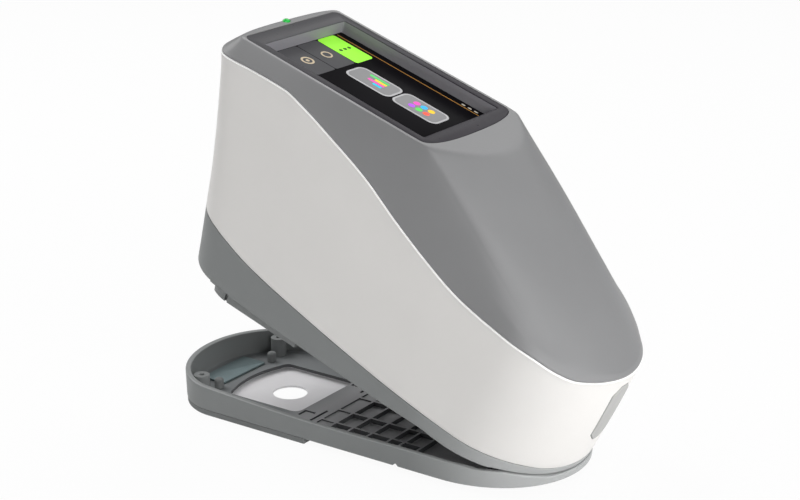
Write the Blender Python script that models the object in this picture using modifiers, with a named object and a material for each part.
"""Press-to-measure spectrodensitometer, shown with its instrument head sprung open.

Metres, +Z up. +Y points to the tall rear end, X = 0 is the plane of symmetry, z = 0 is the table.
The pieces of the head are modelled as they lie when it is closed, and hang from an empty on the
hinge axis that is turned by the angle at which the head stands open.
"""
import math

import bmesh
import bpy
from mathutils import Matrix, Vector

# Clearances, and numbers that several pieces share
GAP = 0.0003
OVERRUN = 0.004
STOP_GAP = 0.0004
MERGE_DISTANCE = 0.00003
SHARP_ANGLE = math.radians(35)
PARALLEL_SHARE = 0.99
WEB_SHARE = 0.98
DEPTH_SHARE = 0.25

# Base tray
BASE_LENGTH = 0.1748
BASE_HALF_WIDTH = 0.0354
BASE_DRAFT = 0.0003
BASE_BOTTOM = 0.0023
BASE_FLOOR = 0.0036
BASE_WALL = 0.0022
BASE_RIM = 0.0099
REAR_END = 0.0273
FRONT_END = 0.0389
REAR_POWER = 2.0
FRONT_POWER = 2.07
HALF_LENGTH = BASE_LENGTH / 2
# Height of the rim against length: shares of half the length and of the rim height
RIM_SHARES = ((-1.0, 0.495), (-0.961, 0.525), (-0.915, 0.663), (-0.858, 0.802), (-0.812, 0.891),
              (-0.720, 0.911), (-0.660, 0.985), (-0.572, 1.010), (-0.400, 1.020), (-0.150, 1.005),
              (0.0, 1.004), (0.229, 1.040), (0.538, 1.158), (0.800, 1.287), (1.0, 1.406))

# Hinge: stations along the pin are shares of its half length
HINGE_SETBACK = 0.0209
HINGE_Y = HINGE_SETBACK - HALF_LENGTH
HINGE_Z = 0.00855
OPEN_ANGLE = math.radians(19.2)
PIN_RADIUS = 0.0015
PIN_END_ROOM = 0.0078
PIN_HALF_LENGTH = BASE_HALF_WIDTH - PIN_END_ROOM
LUG_RADIUS = 0.0032
SPRING_START_SHARE = 0.058
SPRING_END_SHARE = 0.333
HEAD_LUG_INNER_SHARE = 0.435
HEAD_LUG_OUTER_SHARE = 0.688
BASE_LUG_INNER_SHARE = 0.739
BASE_LUG_OUTER_SHARE = 0.942
CLIP_RADIUS = 0.0026
CLIP_THICKNESS = 0.0007
CLIP_GAP = 0.0001
SPRING_WIRE = 0.0006
SPRING_TURNS = 4
SPRING_TURN_POINTS = 10
SPRING_LEG = 0.0032
SPRING_RADIUS = PIN_RADIUS + SPRING_WIRE / 2 + GAP

# Target window with its measuring aperture
APERTURE_SETBACK = 0.0412
APERTURE_Y = HALF_LENGTH - APERTURE_SETBACK
APERTURE_RADIUS = 0.00696
WINDOW_SIDE_ROOM = 0.0092
WINDOW_HALF_WIDTH = BASE_HALF_WIDTH - WINDOW_SIDE_ROOM
WINDOW_FRONT = APERTURE_Y - 0.0234
WINDOW_REAR = APERTURE_Y + 0.0250
WINDOW_PLATE_TOP = 0.0011
WINDOW_RIM_INSET = 0.0052
WINDOW_CORNER = 0.0030
OPENING_SIDE_LAP = 0.0072
OPENING_FRONT_LAP = 0.0052
OPENING_REAR_LAP = 0.0080
OPENING_HALF_WIDTH = WINDOW_HALF_WIDTH - OPENING_SIDE_LAP
OPENING_FRONT = WINDOW_FRONT + OPENING_FRONT_LAP
OPENING_REAR = WINDOW_REAR - OPENING_REAR_LAP
OPENING_ARCH = 0.0029
OPENING_CORNER = 0.0035
SLOT_WIDTH = 0.0012
SLOT_DEPTH = 0.0008
SLOT_ROOM = 0.0093
SLOT_Y = OPENING_FRONT - SLOT_ROOM
SLOT_INNER = 0.0110
SLOT_END_ROOM = 0.0022
SLOT_OUTER = WINDOW_HALF_WIDTH - SLOT_END_ROOM
CORNER_SLOT_ROOM = 0.0010
CORNER_SLOT_ARM = 0.0052
CORNER_SLOT_X = OPENING_HALF_WIDTH + SLOT_WIDTH
CORNER_SLOT_Y = OPENING_FRONT - CORNER_SLOT_ROOM

# Ribbed pan under the front half of the tray
PAN_SIDE_ROOM = 0.0084
PAN_HALF_WIDTH = BASE_HALF_WIDTH - PAN_SIDE_ROOM
PAN_BOTTOM = 0.0008
PAN_FLOOR = 0.0018
PAN_CORNER = 0.0100
RIB_WIDTH = 0.0010
RIB_REAR_ROOM = 0.0017
POCKET_HINGE_ROOM = 0.0095
RIB_REAR = SLOT_Y - RIB_REAR_ROOM
POCKET_FRONT = HINGE_Y + POCKET_HINGE_ROOM
# Ribs across the pan, as shares of the way from its rear rib to its front end, and along it
RIB_ROW_SHARES = (0.0, 0.095, 0.208, 0.327, 0.450, 0.527, 0.635)
RIB_COLUMN_SHARES = (-1.0, -0.692, -0.269, 0.269, 0.692, 1.0)
SHALLOW_CELL_FLOOR = 0.0030
PAN_END = 0.0030
PAN_REAR_LAP = 0.0023
PAN_FRONT = POCKET_FRONT - PAN_END
PAN_REAR = RIB_REAR + (POCKET_FRONT - RIB_REAR) * RIB_ROW_SHARES[1] + PAN_REAR_LAP
NOTCH_Y = -0.0295
NOTCH_HALF_WIDTH = 0.0013

# Sole pad and front foot
SOLE_PAN_ROOM = 0.0007
SOLE_FRONT = PAN_REAR + SOLE_PAN_ROOM
SOLE_INSET = 0.0005
FOOT_HALF_WIDTH = 0.0160
FOOT_END_ROOM = 0.0040
FOOT_FRONT = PAN_FRONT + FOOT_END_ROOM
FOOT_REAR = PAN_REAR - FOOT_END_ROOM
FOOT_CORNER = 0.0030

# Posts and strike plate at the rear of the tray
BOSS_SIDE_ROOM = 0.0107
BOSS_REAR_ROOM = 0.0160
BOSS_X = BASE_HALF_WIDTH - BOSS_SIDE_ROOM
BOSS_Y = HALF_LENGTH - BOSS_REAR_ROOM
BOSS_TOP = 0.0114
BOSS_RADIUS = 0.0032
BOSS_HOLE_RADIUS = 0.0011
BOSS_HOLE_DEPTH = 0.0060
POST_RADIUS = 0.00185
POST_TOP = 0.0081
POST_X = BOSS_X - 0.0077
POST_Y = BOSS_Y - 0.0024
STRIKE_POST_ROOM = 0.0020
STRIKE_REAR_ROOM = 0.0064
STRIKE_LENGTH = 0.0115
STRIKE_HALF_WIDTH = POST_X - POST_RADIUS - STRIKE_POST_ROOM
STRIKE_REAR = HALF_LENGTH - STRIKE_REAR_ROOM
STRIKE_FRONT = STRIKE_REAR - STRIKE_LENGTH
STRIKE_THICKNESS = 0.0006

# Head shells: outlines change evenly from the foot of the head to the height of the plateau
HEAD_OVERHANG = 0.0006
HEAD_HALF_WIDTH = BASE_HALF_WIDTH + HEAD_OVERHANG
HEAD_FOOT = 0.0114
PLATEAU = 0.1085
WALL = 0.0022
NOSE_SETBACK = 0.0007
NOSE_REACH = HALF_LENGTH - NOSE_SETBACK
NOSE_LEAN = 0.181
NOSE_CURL = 0.806
FRONT_END_TOP = 0.0335
FRONT_POWER_TOP = 1.88
TAIL_SETBACK = 0.0010
TAIL_REACH = HALF_LENGTH - TAIL_SETBACK
TAIL_LEAN = -0.018
TAIL_CURL = 0.952
TAIL_END = 0.0280
TAIL_END_TOP = 0.0148
TAIL_POWER = 2.05
TAIL_POWER_TOP = 3.60
# Edge and seams of the head against length: shares of half the length and of the plateau height
FOOT_SHARES = ((-1.060, 0.1134), (-0.940, 0.1097), (-0.790, 0.1046), (-0.744, 0.0986), (-0.664, 0.0986),
               (-0.572, 0.0995), (-0.503, 0.1014), (-0.435, 0.1060), (-0.229, 0.1041), (0.057, 0.1078),
               (0.217, 0.1097), (0.423, 0.1138), (0.618, 0.1226), (0.698, 0.1318), (1.120, 0.1401))
LOWER_SEAM_SHARES = ((-1.060, 0.135), (-0.950, 0.1345), (-0.870, 0.142), (-0.675, 0.149), (-0.446, 0.158),
                     (-0.252, 0.1705), (-0.030, 0.192), (0.263, 0.227), (0.508, 0.262), (0.614, 0.283),
                     (0.728, 0.315), (0.801, 0.336), (0.915, 0.353), (1.120, 0.358))
UPPER_SEAM_SHARES = ((-1.060, 0.512), (-0.955, 0.514), (-0.880, 0.532), (-0.780, 0.561), (-0.660, 0.579),
                     (-0.530, 0.595), (-0.397, 0.618), (-0.217, 0.672), (-0.029, 0.741), (0.160, 0.818),
                     (0.348, 0.875), (0.533, 0.925), (0.636, 0.945), (0.720, 0.946), (1.120, 0.930))
ARC_STEPS = 9
SIDE_STEPS = 11
SIDE_ROW_SHARES = (0.0, 0.25, 0.5, 0.75, 1.0)

# Top cover: a side band rises from the seam to the edge of the plateau, which slopes to the nose
COVER_BAND = 0.0062
PLATEAU_SETBACK = 0.0009
PLATEAU_HALF_WIDTH = HEAD_HALF_WIDTH - COVER_BAND
PLATEAU_REAR = HALF_LENGTH - PLATEAU_SETBACK
PLATEAU_REAR_END = 0.0038
PLATEAU_REAR_POWER = 2.7
PLATEAU_NOSE_LAP = 0.0021
BAND_BULGE_SHARE = 0.154
CREASE_DROP = 0.0104
CREASE_POWER = 2.28
CREASE_BLEND = 0.0002
NOSE_BLEND = 0.0155
NOSE_BLEND_SHARE = 1.5
COVER_SKIRT = 0.0020
# Rows of the cover: up to 1 on the band, and from 1 to 2 from the plateau's edge to the core line
COVER_ROW_SHARES = (0.0, 0.5, 1.0, 1.14, 1.30, 1.50, 1.75, 2.0)

# Floor of the lower shell and belly cover
FLOOR_BOTTOM = 0.0132
FLOOR_TOP = 0.0143
REAR_FLOOR_SETBACK = 0.0269
REAR_FLOOR_FRONT = HALF_LENGTH - REAR_FLOOR_SETBACK
REAR_FLOOR_LAP = 0.0055
REAR_FLOOR_BOTTOM = 0.0148
REAR_FLOOR_TOP = 0.0163
BELLY_BOTTOM = 0.0052
BELLY_SKIN = 0.0014
BELLY_APERTURE_ROOM = 0.0212
BELLY_FRONT = APERTURE_Y - BELLY_APERTURE_ROOM
BELLY_INSET = 0.0066
BELLY_POST_ROOM = 0.0012
BELLY_NOTCH_Y = APERTURE_Y + 0.0133
BELLY_NOTCH_WIDTH = 0.0014
BELLY_NOTCH_DEPTH = 0.0013

# Display
PLATEAU_STRIP = 0.0015
BEZEL_REAR_ROOM = 0.0031
BEZEL_BORDER = 0.0037
BEZEL_REAR_BORDER = 0.0072
BEZEL_FRONT_BORDER = 0.0002
BEZEL_BULGE = 0.0068
BEZEL_HALF_WIDTH = PLATEAU_HALF_WIDTH - PLATEAU_STRIP
BEZEL_REAR = PLATEAU_REAR - BEZEL_REAR_ROOM
BEZEL_CORNER = 0.0030
BEZEL_THICKNESS = 0.0026
BEZEL_FRONT_POWER = 2.6
SCREEN_LENGTH = 0.0740
SCREEN_HALF_WIDTH = BEZEL_HALF_WIDTH - BEZEL_BORDER
SCREEN_REAR = BEZEL_REAR - BEZEL_REAR_BORDER
SCREEN_FRONT = SCREEN_REAR - SCREEN_LENGTH
BEZEL_SIDE_FRONT = SCREEN_FRONT - BEZEL_FRONT_BORDER
SLOPE_ROOM = 0.0211
SLOPE_TOP = BEZEL_SIDE_FRONT - SLOPE_ROOM
SLOPE_RISE = 0.620
SLOPE_CURL_RADIUS = 0.794
NOSE_CROWN_LOSS_SHARE = 0.05
SCREEN_DEPTH = 0.0050
SCREEN_CORNER = 0.0006
TOUCH_MARGIN = 0.0012
TOUCH_THICKNESS = 0.0008
LCD_THICKNESS = 0.0040
FRAME_WALL = 0.0012
FRAME_CORNER = 0.0020
LED_EDGE_ROOM = 0.0006
LED_Y = PLATEAU_REAR - LED_EDGE_ROOM
LED_HALF_WIDTH = 0.0019
LED_HALF_LENGTH = 0.0013
LED_HEIGHT = 0.0012
LED_SINK = 0.0004
LED_STEM = 0.0024
LED_STEM_SHARE = 0.99
LED_BOARD_HALF_WIDTH = 0.0060
LED_BOARD_FRONT = 0.0048
LED_BOARD_REAR = 0.0016
LED_BOARD_THICKNESS = 0.0010
CABLE_HALF_WIDTH = 0.0080
CABLE_THICKNESS = 0.0004

# Port flap on the nose with what lies behind it
PORT_HALF_WIDTH = 0.0058
PORT_BOTTOM = 0.0253
PORT_TOP = 0.0510
PORT_CHAMFER = 0.0036
TRAY_HALF_WIDTH = 0.0075
TRAY_THICKNESS = 0.0012
TRAY_SETBACK = 0.0015
TRAY_FACE = TRAY_SETBACK - NOSE_REACH
USB_HALF_WIDTH = 0.0045
USB_HALF_HEIGHT = 0.0016
USB_CORNER = 0.0014
USB_Z = 0.0330
USB_LENGTH = 0.0075
USB_DEPTH = 0.0060
USB_WALL = 0.0004
SWITCH_Z = 0.0440
SWITCH_HALF_HEIGHT = 0.0045
SWITCH_HALF_WIDTH = 0.0025
SWITCH_DEPTH = 0.0050
KNOB_HALF_SIZE = 0.0012
KNOB_TRAVEL = 0.0030
PORT_BOARD_THICKNESS = 0.0014
PORT_BOARD_HALF_WIDTH = 0.0130

# Optics above the aperture
CONE_TIP = 0.0020
CONE_TIP_RADIUS = 0.0060
CONE_BORE_RADIUS = 0.0040
CONE_TOP_RADIUS = 0.0100
CONE_FLANGE_RADIUS = 0.0126
CONE_FLANGE = 0.0014
BARREL_RADIUS = 0.0095
BARREL_BORE_RADIUS = 0.0070
BARREL_TOP = 0.0400
FLOOR_PORT_RADIUS = 0.0105
LENS_Z = 0.0300
LENS_THICKNESS = 0.0030
LENS_BEVEL = 0.0010
LENS_SEAT = 0.0010
RING_BOARD_RADIUS = 0.0148
RING_BOARD_Z = 0.0195
RING_BOARD_THICKNESS = 0.0012
LAMP_COUNT = 8
LAMP_CIRCLE = 0.0118
LAMP_SIZE = 0.0026
LAMP_HEIGHT = 0.0014

# Frame, main board and what it carries
CHASSIS_SIDE_ROOM = 0.0053
CHASSIS_REAR_ROOM = 0.0154
CHASSIS_LENGTH = 0.0620
CHASSIS_HALF_WIDTH = HEAD_HALF_WIDTH - WALL - CHASSIS_SIDE_ROOM
CHASSIS_REAR = HALF_LENGTH - CHASSIS_REAR_ROOM
CHASSIS_FRONT = CHASSIS_REAR - CHASSIS_LENGTH
CHASSIS_TOP = 0.0860
CHASSIS_SHEET = 0.0016
CHASSIS_LEG_FRONT = CHASSIS_FRONT + 0.0100
CHASSIS_LEG_REAR = CHASSIS_REAR - 0.0120
CHASSIS_SLOT_MARGIN = 0.0120
CHASSIS_FOOT = 0.0090
STANDOFF_HEIGHT = 0.0040
STANDOFF_RADIUS = 0.0024
BOARD_THICKNESS = 0.0014
BOARD_MARGIN = 0.0020
BOARD_HOLE_MARGIN = 0.0045
CHIP_HEIGHT = 0.0014
CHIP_HALF_SIZE = 0.0060
# Chips on the board: place across and along as shares of its half sizes, and size
CHIP_SHARES = ((0.0, -0.55, 1.0), (0.42, 0.52, 0.7), (-0.45, 0.50, 0.5), (-0.5, -0.2, 0.6))
BUZZER_RADIUS = 0.0050
BUZZER_HEIGHT = 0.0032
BUZZER_SHARE = 0.5
CABLE_ROOM = 0.0270
CABLE_Y = CHASSIS_REAR - CABLE_ROOM

# Spectral module over the barrel
BLOCK_ROOM = 0.0005
BLOCK_HALF_WIDTH = CHASSIS_HALF_WIDTH - CHASSIS_FOOT - BLOCK_ROOM
BLOCK_FRONT = APERTURE_Y - 0.0192
BLOCK_REAR = APERTURE_Y + 0.0138
BLOCK_HEIGHT = 0.0220
BLOCK_LEG = 0.0050
BLOCK_CORNER = 0.0025
BLOCK_LIGHT_PATH = 0.0110
BLOCK_SCREW_DEPTH = 0.0044
BLOCK_HOLE_DEPTH = 0.0055
DETECTOR_INSET = 0.0015

# Trigger
TRIGGER_STRIP_ROOM = 0.0010
TRIGGER_Y = RIB_REAR + TRIGGER_STRIP_ROOM
TRIGGER_RADIUS = 0.0020
TRIGGER_TRAVEL = 0.0015
TRIGGER_FLANGE_RADIUS = 0.0034
TRIGGER_FLANGE = 0.0010
MICROSWITCH_HALF_WIDTH = 0.0064
MICROSWITCH_HALF_LENGTH = 0.0030
MICROSWITCH_HEIGHT = 0.0060
MICROSWITCH_LEG = 0.0020

# Battery in the nose, between the hinge and the trigger
BATTERY_HINGE_ROOM = 0.0005
BATTERY_TRIGGER_ROOM = 0.0340
BATTERY_HALF_WIDTH = 0.0220
BATTERY_FRONT = HINGE_Y + BATTERY_HINGE_ROOM
BATTERY_REAR = TRIGGER_Y - BATTERY_TRIGGER_ROOM
BATTERY_HEIGHT = 0.0190
BATTERY_CORNER = 0.0030
CRADLE_SHEET = 0.0015
CRADLE_LIP = 0.0080

# Catch magnet
MAGNET_RADIUS = 0.0035

# Hinge brackets
BRACKET_MARGIN = 0.0009
BRACKET_FRONT = HINGE_Y - 0.0075
BRACKET_REAR = HINGE_Y + 0.0085
BRACKET_SHEET = 0.0010

# Screws
SCREW_RADIUS = 0.0009
SCREW_HEAD_RADIUS = 0.0017
SCREW_HEAD = 0.0009
SCREW_SIDES = 8
ROUND_SIDES = 20

for old in list(bpy.data.objects):
    bpy.data.objects.remove(old, do_unlink=True)

parts = bpy.data.collections.new("spectrodensitometer")
cutters = bpy.data.collections.new("cutters")
for collection in (parts, cutters):
    bpy.context.scene.collection.children.link(collection)


def empty(name, place, turn=0.0, parent=None, parent_place=None):
    """An empty on a joint axis, whose children keep the coordinates of the closed head."""
    pivot = bpy.data.objects.new(name, None)
    parts.objects.link(pivot)
    pivot.location = place
    pivot.rotation_euler = (turn, 0, 0)
    pivot.parent = parent
    if parent is not None:
        pivot.matrix_parent_inverse = Matrix.Translation(-Vector(parent_place))
    return pivot


HINGE = (0, HINGE_Y, HINGE_Z)
head = empty("head_pivot", HINGE, OPEN_ANGLE)


def paint(name, colour, roughness, metallic=0.0):
    """A Principled material of one colour."""
    material = bpy.data.materials.new(name)
    material.use_nodes = True
    shader = material.node_tree.nodes["Principled BSDF"]
    shader.inputs["Base Color"].default_value = (*colour, 1)
    shader.inputs["Roughness"].default_value = roughness
    shader.inputs["Metallic"].default_value = metallic
    return material


WHITE = paint("white_plastic", (0.75, 0.74, 0.72), 0.40)
COVER_GREY = paint("cover_grey_plastic", (0.24, 0.24, 0.245), 0.50)
SHELL_GREY = paint("shell_grey_plastic", (0.21, 0.22, 0.22), 0.55)
DARK_GREY = paint("dark_plastic", (0.05, 0.05, 0.055), 0.50)
RUBBER = paint("grey_rubber", (0.16, 0.17, 0.17), 0.80)
WINDOW_WHITE = paint("frosted_window", (0.55, 0.54, 0.53), 0.35)
STEEL = paint("steel", (0.60, 0.60, 0.62), 0.30, 1.0)
GLASS_GREY = paint("bezel_panel", (0.10, 0.10, 0.10), 0.20)
SCREEN_BLACK = paint("screen_glass", (0.01, 0.01, 0.012), 0.08)
LENS_GLASS = paint("lens_glass", (0.70, 0.80, 0.85), 0.05)
BOARD_GREEN = paint("board_green", (0.03, 0.16, 0.07), 0.45)
CHIP_BLACK = paint("chip_black", (0.03, 0.03, 0.03), 0.60)
LAMP_WHITE = paint("lamp_white", (0.85, 0.83, 0.70), 0.30)
LED_GREEN = paint("status_green", (0.05, 0.70, 0.20), 0.30)
BATTERY_BLUE = paint("battery_blue", (0.05, 0.12, 0.35), 0.45)
BLACK_METAL = paint("black_anodised", (0.04, 0.04, 0.045), 0.40, 0.8)
ALUMINIUM = paint("aluminium", (0.65, 0.65, 0.66), 0.35, 1.0)
AMBER = paint("flat_cable", (0.55, 0.28, 0.05), 0.45)


def place(obj, parent):
    """Hangs an object under an empty without moving it in that empty's closed frame."""
    if parent is None:
        return
    obj.parent = parent
    closed = Vector(parent.location)
    obj.matrix_parent_inverse = Matrix.Translation(-closed)


def object_from(name, bm, material=None, parent=None):
    """Turns a bmesh into a part, or into a cutter where it has no material."""
    bmesh.ops.recalc_face_normals(bm, faces=bm.faces)
    mesh = bpy.data.meshes.new(name)
    bm.to_mesh(mesh)
    bm.free()
    obj = bpy.data.objects.new(name, mesh)
    if material is None:
        cutters.objects.link(obj)
        obj.hide_render = True
        obj.display_type = "WIRE"
    else:
        parts.objects.link(obj)
        mesh.materials.append(material)
        mesh.shade_smooth()
        mesh.set_sharp_from_angle(angle=SHARP_ANGLE)
    place(obj, parent)
    return obj


def combine(obj, other, operation):
    """Adds a Boolean of one object with another."""
    modifier = obj.modifiers.new(operation.lower() + "_" + other.name, "BOOLEAN")
    modifier.operation = operation
    modifier.object = other
    modifier.solver = "EXACT"
    return obj


def add_box(bm, low, high):
    """A box from its lowest to its highest corner."""
    low, high = Vector(low), Vector(high)
    size = high - low
    matrix = Matrix.Translation((low + high) / 2) @ Matrix.Diagonal((*size, 1))
    return bmesh.ops.create_cube(bm, size=1, matrix=matrix)["verts"]


def add_rounded_box(bm, low, high, corner, axis=2, steps=3):
    """A box whose four edges along one axis are rounded."""
    verts = add_box(bm, low, high)
    edges = {edge for vert in verts for edge in vert.link_edges}
    along = []
    for edge in edges:
        direction = edge.verts[0].co - edge.verts[1].co
        if abs(direction[axis]) > direction.length * PARALLEL_SHARE:
            along.append(edge)
    bmesh.ops.bevel(bm, geom=along, offset=corner, segments=steps, affect="EDGES", profile=0.5)


def add_cone(bm, centre, low, high, radius_low, radius_high, sides=ROUND_SIDES, axis="Z"):
    """A cylinder or cone between two heights on an axis through a centre."""
    turn = Matrix.Identity(4)
    middle = Vector(centre)
    if axis == "Z":
        middle.z = (low + high) / 2
    elif axis == "X":
        turn = Matrix.Rotation(math.pi / 2, 4, "Y")
        middle.x = (low + high) / 2
    else:
        turn = Matrix.Rotation(-math.pi / 2, 4, "X")
        middle.y = (low + high) / 2
    bmesh.ops.create_cone(bm, cap_ends=True, segments=sides, radius1=radius_low, radius2=radius_high,
                          depth=high - low, matrix=Matrix.Translation(middle) @ turn)


def add_cylinder(bm, centre, low, high, radius, sides=ROUND_SIDES, axis="Z"):
    add_cone(bm, centre, low, high, radius, radius, sides, axis)


def box_piece(name, low, high, material=None, parent=None, corner=0.0, axis=2):
    """One box, with or without rounded edges along an axis."""
    bm = bmesh.new()
    if corner:
        add_rounded_box(bm, low, high, corner, axis)
    else:
        add_box(bm, low, high)
    return object_from(name, bm, material, parent)


def cylinder_piece(name, centre, low, high, radius, material=None, parent=None, sides=ROUND_SIDES,
                   axis="Z"):
    bm = bmesh.new()
    add_cylinder(bm, centre, low, high, radius, sides, axis)
    return object_from(name, bm, material, parent)


def slab(name, outline, low, high, material=None, parent=None):
    """A flat outline given thickness, from a filled curve."""
    data = bpy.data.curves.new(name + "_outline", "CURVE")
    data.dimensions = "2D"
    data.fill_mode = "BOTH"
    data.extrude = (high - low) / 2
    spline = data.splines.new("POLY")
    spline.points.add(len(outline) - 1)
    for point, (x, y) in zip(spline.points, outline):
        point.co = (x, y, 0, 1)
    spline.use_cyclic_u = True
    curve = bpy.data.objects.new(name + "_outline", data)
    cutters.objects.link(curve)
    return mesh_from_curve(name, curve, Matrix.Translation((0, 0, (low + high) / 2)), material, parent)


def mesh_from_curve(name, curve, matrix, material, parent):
    """Makes a closed mesh object of a curve and removes the curve."""
    depsgraph = bpy.context.evaluated_depsgraph_get()
    mesh = bpy.data.meshes.new_from_object(curve.evaluated_get(depsgraph))
    bm = bmesh.new()
    bm.from_mesh(mesh)
    bmesh.ops.transform(bm, matrix=matrix @ curve.matrix_world, verts=bm.verts)
    bmesh.ops.remove_doubles(bm, verts=bm.verts, dist=MERGE_DISTANCE)
    bpy.data.objects.remove(curve, do_unlink=True)
    return object_from(name, bm, material, parent)


def follow(shares, y):
    """Height share at a place along the length, smooth through the points of a table."""
    at = y / HALF_LENGTH
    if at <= shares[0][0]:
        return shares[0][1]
    if at >= shares[-1][0]:
        return shares[-1][1]
    last = len(shares) - 2
    i = max(k for k in range(last + 1) if shares[k][0] <= at)
    (x0, z0), (x1, z1) = shares[i], shares[i + 1]
    slope = (z1 - z0) / (x1 - x0)

    def knot_slope(k):
        if k <= 0 or k >= len(shares) - 1:
            return slope
        before = (shares[k][1] - shares[k - 1][1]) / (shares[k][0] - shares[k - 1][0])
        after = (shares[k + 1][1] - shares[k][1]) / (shares[k + 1][0] - shares[k][0])
        return 0.0 if before * after <= 0 else 2 * before * after / (before + after)

    t = (at - x0) / (x1 - x0)
    m0, m1 = knot_slope(i) * (x1 - x0), knot_slope(i + 1) * (x1 - x0)
    return ((2 * t ** 3 - 3 * t ** 2 + 1) * z0 + (t ** 3 - 2 * t ** 2 + t) * m0
            + (3 * t ** 2 - 2 * t ** 3) * z1 + (t ** 3 - t ** 2) * m1)


def half_outline(half_width, rear_tip, rear_end, rear_power, front_tip, front_end, front_power):
    """Points of the half outline at X >= 0, from the rear tip round to the front tip."""
    points = []
    for step in range(ARC_STEPS + 1):
        angle = math.pi / 2 * (1 - step / ARC_STEPS)
        x = half_width * max(math.cos(angle), 0) ** (2 / rear_power)
        y = rear_tip - rear_end + rear_end * math.sin(angle) ** (2 / rear_power)
        points.append((0.0 if step == 0 else x, y))
    rear_side, front_side = rear_tip - rear_end, front_tip + front_end
    for step in range(1, SIDE_STEPS):
        points.append((half_width, rear_side + (front_side - rear_side) * step / SIDE_STEPS))
    for step in range(ARC_STEPS + 1):
        angle = math.pi / 2 * step / ARC_STEPS
        x = half_width * max(math.cos(angle), 0) ** (2 / front_power)
        y = front_tip + front_end - front_end * math.sin(angle) ** (2 / front_power)
        points.append((0.0 if step == ARC_STEPS else x, y))
    return points


def whole_ring(half):
    """Closes a half row of 3-D points with its mirror image."""
    mirrored = [Vector((-p.x, p.y, p.z)) for p in half[-2:0:-1]]
    return half + mirrored


def skin(bm, rows):
    """Quads between closed rows of equally many points, with normals that point away from the axis."""
    verts = [[bm.verts.new(point) for point in row] for row in rows]
    count = len(rows[0])
    for low, high in zip(verts, verts[1:]):
        for i in range(count):
            j = (i + 1) % count
            bm.faces.new((low[i], high[i], high[j], low[j]))
    return verts


def cap(bm, row, flip):
    """Closes a mirrored row with strips across from side to side."""
    count = len(row)
    half = count // 2
    for i in range(half):
        corners = [row[i], row[i + 1], row[(count - i - 1) % count], row[(count - i) % count]]
        unique = []
        for vert in corners:
            if vert not in unique:
                unique.append(vert)
        bm.faces.new(unique[::-1] if flip else unique)


def solid_between(name, rows, material=None, parent=None):
    """A closed solid through rows of points, capped at both ends."""
    bm = bmesh.new()
    verts = skin(bm, rows)
    cap(bm, verts[0], True)
    cap(bm, verts[-1], False)
    bmesh.ops.recalc_face_normals(bm, faces=bm.faces)
    return object_from(name, bm, material, parent)


def base_row(inset, height):
    """A row round the base outline at a height, or at a height that depends on y."""
    half = half_outline(BASE_HALF_WIDTH - inset, HALF_LENGTH - inset, REAR_END - inset, REAR_POWER,
                        -HALF_LENGTH + inset, FRONT_END - inset, FRONT_POWER)
    level = height if callable(height) else (lambda y: height)
    return whole_ring([Vector((x, y, level(y))) for x, y in half])


def at_height(foot, top, z):
    """A size of the outline that changes evenly from the foot of the head to its top."""
    return foot + (top - foot) * z / PLATEAU


def wall_half(level, inset=0.0):
    """Half row on the wall of the head, where level gives the height at a y."""
    row = []
    guess = half_outline(HEAD_HALF_WIDTH, TAIL_REACH, TAIL_END, TAIL_POWER,
                         -NOSE_REACH, FRONT_END, FRONT_POWER)
    for i, (x, y) in enumerate(guess):
        for turn in range(3):
            z = level(y)
            h = z - HEAD_FOOT
            nose = -NOSE_REACH - NOSE_LEAN * h + h * abs(h) / NOSE_CURL
            tail = TAIL_REACH + TAIL_LEAN * h + h * abs(h) / TAIL_CURL
            half = half_outline(HEAD_HALF_WIDTH - inset, tail - inset,
                                at_height(TAIL_END, TAIL_END_TOP, z) - inset,
                                at_height(TAIL_POWER, TAIL_POWER_TOP, z), nose + inset,
                                at_height(FRONT_END, FRONT_END_TOP, z) - inset,
                                at_height(FRONT_POWER, FRONT_POWER_TOP, z))
            x, y = half[i]
        row.append(Vector((x, y, level(y))))
    return row


def foot_height(y):
    return follow(FOOT_SHARES, y) * PLATEAU


def lower_seam(y):
    return follow(LOWER_SEAM_SHARES, y) * PLATEAU


def upper_seam(y):
    return follow(UPPER_SEAM_SHARES, y) * PLATEAU


def wall_shell(name, low, high, material):
    """A shell of even thickness on the wall, between two heights that depend on y."""
    rows = []
    for share in SIDE_ROW_SHARES:
        rows.append(whole_ring(wall_half(lambda y: low(y) + (high(y) - low(y)) * share)))
    bm = bmesh.new()
    skin(bm, rows)
    return thicken(object_from(name, bm, material, head))


def thicken(obj):
    """Gives an open skin its wall on the inner side."""
    solid = obj.modifiers.new("wall", "SOLIDIFY")
    solid.thickness = WALL
    solid.offset = -1
    solid.use_even_offset = True
    return obj


def blend(one, other, width):
    """The lower of two heights, with the crease between them rounded over a width."""
    if width <= 0:
        return min(one, other)
    near = max(width - abs(one - other), 0) / width
    return min(one, other) - near ** 2 * width * DEPTH_SHARE


def nearness(y):
    """How near a place is to the nose: 0 at the front of the screen, 1 at the foot of the slope."""
    return min(max((BEZEL_SIDE_FRONT - y) / (BEZEL_SIDE_FRONT + NOSE_REACH), 0), 1)


def top_height(x, y):
    """Height of the plateau, and of the slope that falls from its curved crease to the nose."""
    crown = CREASE_DROP * (1 - NOSE_CROWN_LOSS_SHARE * nearness(y) ** 2)
    run = SLOPE_TOP - y
    slope = PLATEAU - run * (SLOPE_RISE + abs(run) / SLOPE_CURL_RADIUS)
    return blend(slope - crown * abs(x / PLATEAU_HALF_WIDTH) ** CREASE_POWER, PLATEAU, CREASE_BLEND)


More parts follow.
